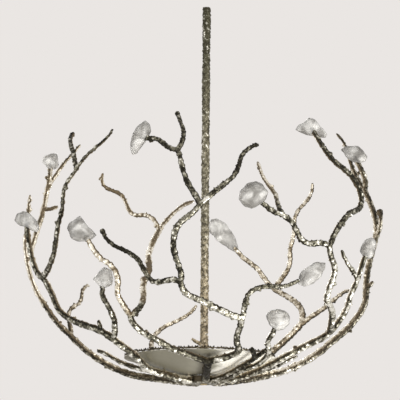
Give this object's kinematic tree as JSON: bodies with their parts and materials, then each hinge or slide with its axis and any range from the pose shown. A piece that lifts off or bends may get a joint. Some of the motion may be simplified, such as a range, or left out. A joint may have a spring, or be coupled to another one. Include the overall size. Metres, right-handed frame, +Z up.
{
  "type": "chandelier",
  "caption": "Nest chandelier: bark-textured cast branches curl up from a hub round a central stem and carry rock crystals; a shallow pan over the hub hides upward-facing lamps.",
  "frame": {"origin": "middle of the top end of the stem, where the ceiling rod screws in", "axes": "+Z up along the stem, -Y towards the viewer of the picture, +X to that viewer's right"},
  "size_m": [0.9019, 0.8877, 0.9645],
  "materials": {
    "dark_bronze": "cast bark texture, dark olive patina rubbed to silver on the high spots",
    "golden_bronze": "cast bark texture, antique gold patina with silver highlights",
    "stem_bronze": "bark-textured tube, speckled champagne patina",
    "pan_bronze": "satin champagne bronze, brushed round",
    "rock_crystal": "frosty, tumbled rock crystal",
    "zinc_steel": "zinc plated",
    "nut_brass": "satin brass",
    "ceramic": "glazed ceramic",
    "lamp_glass": "clear glass",
    "block_plastic": "moulded plastic",
    "black_rubber": "rubber sheath",
    "lead_sleeve": "woven sleeve"
  },
  "bodies": {
    "root": {"block_screw": "zinc_steel", "cable_grommet": "black_rubber", "cap_nut": "nut_brass", "carrier_spacer": "zinc_steel", "crystal_centre": "rock_crystal", "crystal_left_back": "rock_crystal", "crystal_left_front": "rock_crystal", "crystal_left_low": "rock_crystal", "crystal_left_rim": "rock_crystal", "crystal_pins": "zinc_steel", "crystal_right_back": "rock_crystal", "crystal_right_inner": "rock_crystal", "crystal_right_low": "rock_crystal", "crystal_right_mid": "rock_crystal", "crystal_right_rim": "rock_crystal", "crystal_top_left": "rock_crystal", "crystal_top_right": "rock_crystal", "earth_screw": "nut_brass", "holder_screws": "zinc_steel", "hub": "dark_bronze", "lamp_carrier": "zinc_steel", "lamp_leads": "lead_sleeve", "lampholder_1": "ceramic", "lampholder_2": "ceramic", "lampholder_3": "ceramic", "lampholder_4": "ceramic", "limb_back_left": "golden_bronze", "limb_back_right": "golden_bronze", "limb_front_centre": "dark_bronze", "limb_front_fork": "dark_bronze", "limb_front_left": "dark_bronze", "limb_front_right": "dark_bronze", "limb_mid_right": "dark_bronze", "limb_outer_left": "golden_bronze", "limb_outer_right": "golden_bronze", "limb_set_screws": "zinc_steel", "pan": "pan_bronze", "pan_rim": "pan_bronze", "pan_washer": "zinc_steel", "stem": "stem_bronze", "stem_foot_bush": "zinc_steel", "stem_top_bush": "zinc_steel", "supply_cable": "black_rubber", "terminal_block": "block_plastic", "tie_tube": "zinc_steel"},
    "lamp_1": {"lamp_cap_1": "ceramic", "lamp_glass_1": "lamp_glass"},
    "lamp_2": {"lamp_cap_2": "ceramic", "lamp_glass_2": "lamp_glass"},
    "lamp_3": {"lamp_cap_3": "ceramic", "lamp_glass_3": "lamp_glass"},
    "lamp_4": {"lamp_cap_4": "ceramic", "lamp_glass_4": "lamp_glass"}
  },
  "joints": [
    {"name": "lamp_1_pull", "type": "slide", "parent": "root", "child": "lamp_1", "axis": [0, 0, 1], "range_m": [0, 0.012]},
    {"name": "lamp_2_pull", "type": "slide", "parent": "root", "child": "lamp_2", "axis": [0, 0, 1], "range_m": [0, 0.012]},
    {"name": "lamp_3_pull", "type": "slide", "parent": "root", "child": "lamp_3", "axis": [0, 0, 1], "range_m": [0, 0.012]},
    {"name": "lamp_4_pull", "type": "slide", "parent": "root", "child": "lamp_4", "axis": [0, 0, 1], "range_m": [0, 0.012]}
  ]
}
